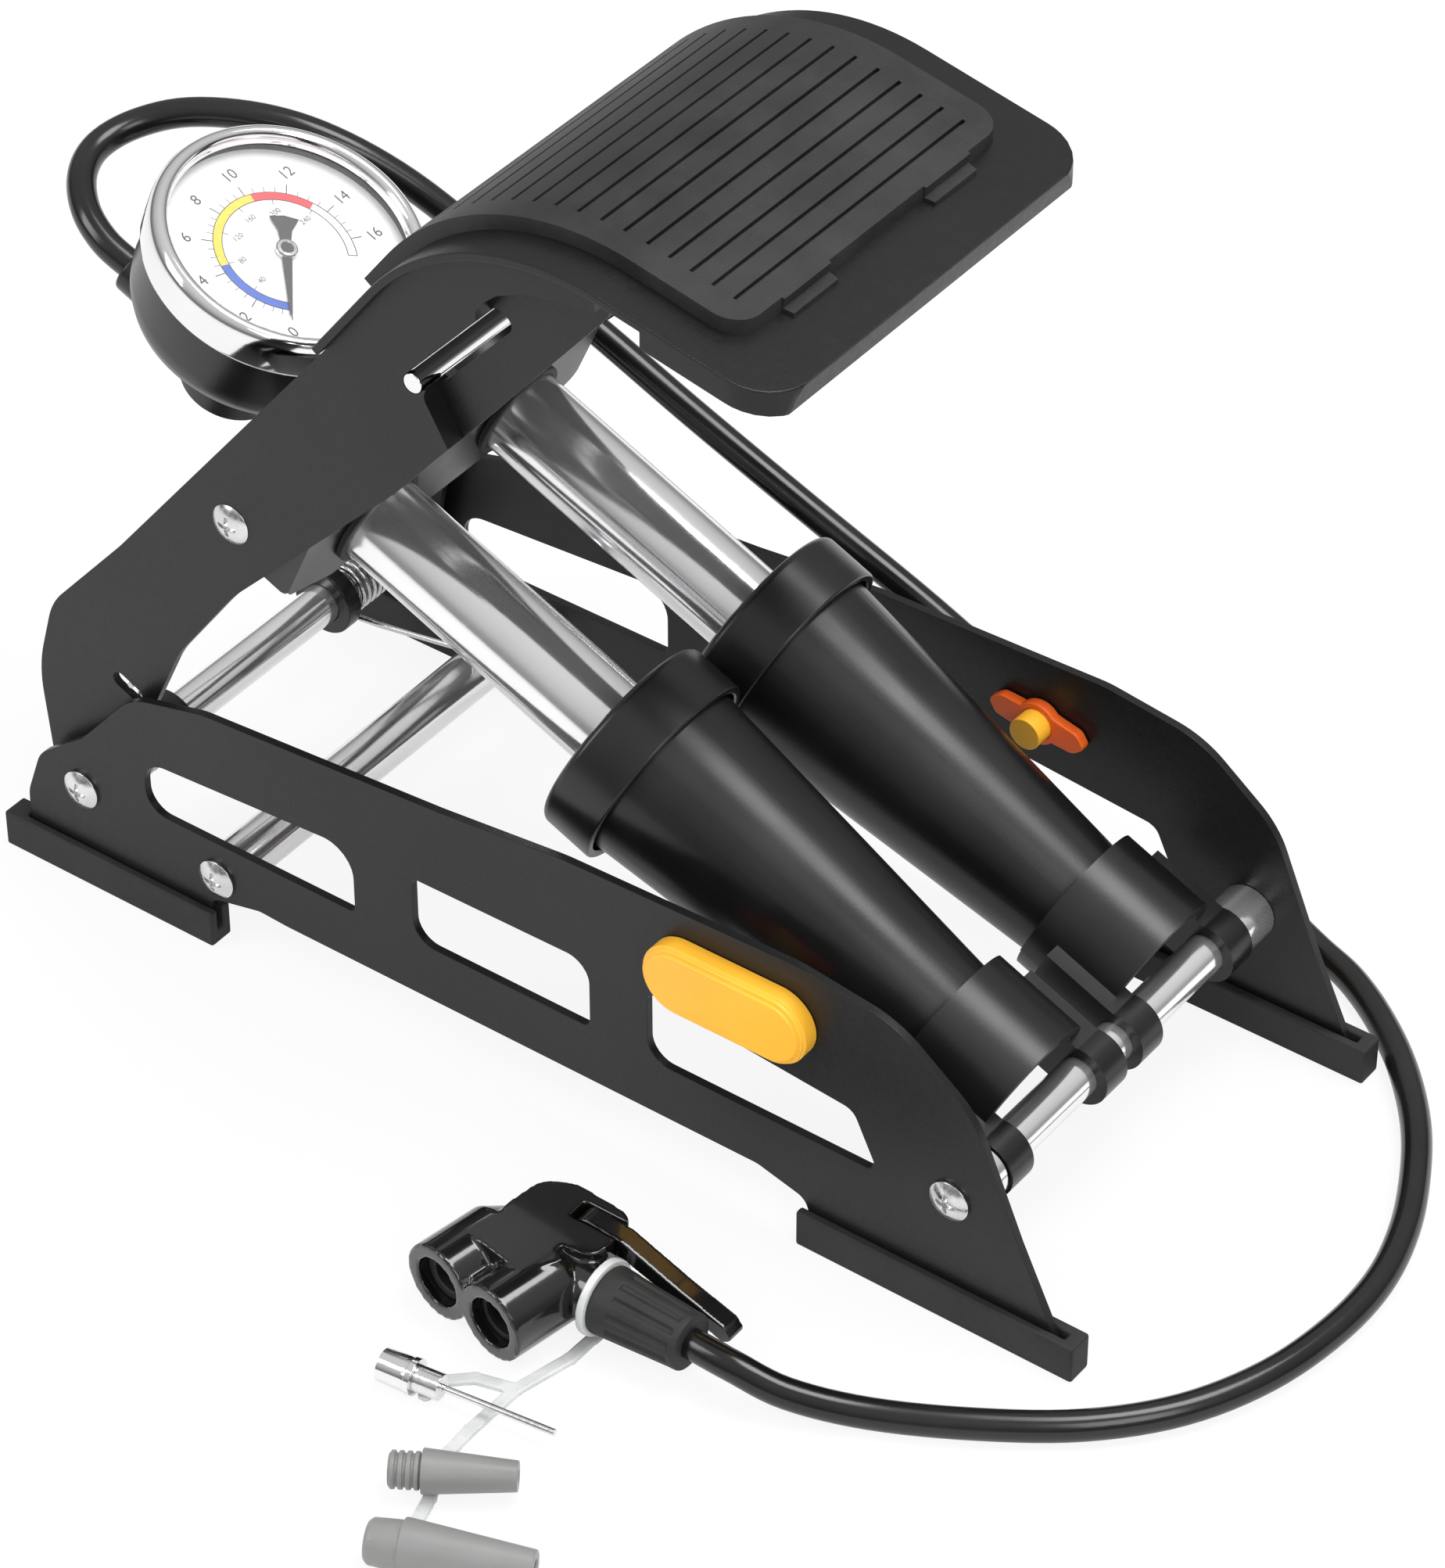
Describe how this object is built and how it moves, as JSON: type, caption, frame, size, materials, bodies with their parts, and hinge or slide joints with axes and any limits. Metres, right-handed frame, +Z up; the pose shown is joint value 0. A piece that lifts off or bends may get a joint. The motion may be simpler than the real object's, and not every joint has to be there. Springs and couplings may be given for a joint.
{
  "type": "foot pump",
  "caption": "Twin-cylinder foot pump with folding pedal, gauge, hose, two-port valve head and ball, bed and boat adapters",
  "frame": {"origin": "on the floor, midway between the ends of the rubber feet and midway between the side plates", "axes": "+X from the heel end to the axle end, +Y to the far side plate, +Z up"},
  "size_m": [0.3754, 0.2837, 0.2289],
  "materials": {
    "black_sheet": "satin powder coat",
    "foot_rubber": "matt",
    "tread_rubber": "ribbed, matt",
    "chrome": "polished",
    "zinc": "bright zinc",
    "spring_steel": "drawn wire",
    "black_plastic": "fine grain",
    "gloss_black": "moulded gloss",
    "latch_yellow": "satin",
    "latch_orange": "satin",
    "hose_rubber": "smooth, slightly glossy",
    "seal_rubber": "soft",
    "piston_white": "natural",
    "dial_white": "printed dial",
    "needle_black": "satin",
    "clear_lens": "clear",
    "adapter_grey": "satin",
    "strap_clear": "translucent",
    "needle_steel": "nickel plated"
  },
  "bodies": {
    "base": {"side_plate_near": "black_sheet", "side_plate_far": "black_sheet", "foot_heel_near": "foot_rubber", "foot_heel_far": "foot_rubber", "foot_front_near": "foot_rubber", "foot_front_far": "foot_rubber", "hinge_tube": "chrome", "tie_tube": "chrome", "front_axle": "chrome", "axle_bushes": "chrome", "frame_screws": "zinc", "hinge_spacers": "black_plastic", "return_spring_near": "spring_steel", "return_spring_far": "spring_steel", "spring_bushes": "black_plastic", "hose_lower": "hose_rubber", "hose_relief": "seal_rubber", "valve_body": "gloss_black", "port_grommets": "seal_rubber", "lever_pin": "zinc", "adapter_strap": "strap_clear", "ball_needle": "needle_steel", "ball_needle_cap": "chrome", "nozzle_small": "adapter_grey", "nozzle_large": "adapter_grey"},
    "pedal": {"arm_near": "black_sheet", "arm_far": "black_sheet", "pedal_deck": "black_sheet", "tread_pad": "tread_rubber", "lock_pin": "chrome", "pivot_pins": "zinc"},
    "barrels": {"barrel_near": "black_plastic", "barrel_far": "black_plastic", "collar_near": "black_plastic", "collar_far": "black_plastic", "end_cap_near": "black_plastic", "end_cap_far": "black_plastic", "piston_rods": "zinc", "pistons": "piston_white", "piston_seals": "seal_rubber", "hose_upper": "hose_rubber"},
    "head": {"pump_head": "black_plastic", "check_valves": "seal_rubber", "cylinder_near": "chrome", "cylinder_far": "chrome", "cylinder_glands": "seal_rubber", "gauge_cup": "black_plastic", "gauge_bezel": "chrome", "gauge_lens": "clear_lens", "gauge_dial": "dial_white", "gauge_stem": "black_plastic", "hose_nut": "black_plastic"},
    "needle": {"gauge_needle": "needle_black"},
    "latch_near": {"latch_knob_near": "latch_yellow", "latch_wing_near": "latch_orange"},
    "latch_far": {"latch_knob_far": "latch_yellow", "latch_wing_far": "latch_orange"},
    "lever": {"valve_lever": "gloss_black"}
  },
  "joints": [
    {"name": "pedal_hinge", "type": "hinge", "parent": "base", "child": "pedal", "pos_m": [-0.1263, 0, 0.0265], "axis": [0, 1, 0], "range_deg": [0, 44], "stiffness_Nm_per_rad": 1.5, "springref_deg": -51.57, "deforming": ["return_spring_near", "return_spring_far"]},
    {"name": "barrel_swing", "type": "hinge", "parent": "base", "child": "barrels", "pos_m": [0.1165, 0, 0.033], "axis": [0, 1, 0], "range_deg": [-12.7, 0], "deforming": ["hose_upper"]},
    {"name": "piston_slide", "type": "slide", "parent": "barrels", "child": "head", "axis": [0.9144, 0, -0.4048], "range_m": [0, 0.0676]},
    {"name": "gauge_needle_turn", "type": "hinge", "parent": "head", "child": "needle", "pos_m": [-0.10725, 0, 0.15109], "axis": [-0.4048, 0, -0.9144], "range_deg": [0, 266], "stiffness_Nm_per_rad": 0.0005},
    {"name": "latch_near_turn", "type": "hinge", "parent": "base", "child": "latch_near", "pos_m": [0.06, -0.0593, 0.061], "axis": [0, -1, 0], "range_deg": [0, 90]},
    {"name": "latch_far_turn", "type": "hinge", "parent": "base", "child": "latch_far", "pos_m": [0.06, 0.0593, 0.061], "axis": [0, -1, 0], "range_deg": [0, 90]},
    {"name": "lever_lift", "type": "hinge", "parent": "base", "child": "lever", "pos_m": [0.05, -0.0966, 0.0155], "axis": [0, -1, 0], "range_deg": [0, 90]}
  ],
  "couplings": [
    {"joint": "barrel_swing", "follows": "pedal_hinge", "ratio": -0.28843},
    {"joint": "piston_slide", "follows": "pedal_hinge", "m_per_rad": 0.087966}
  ]
}
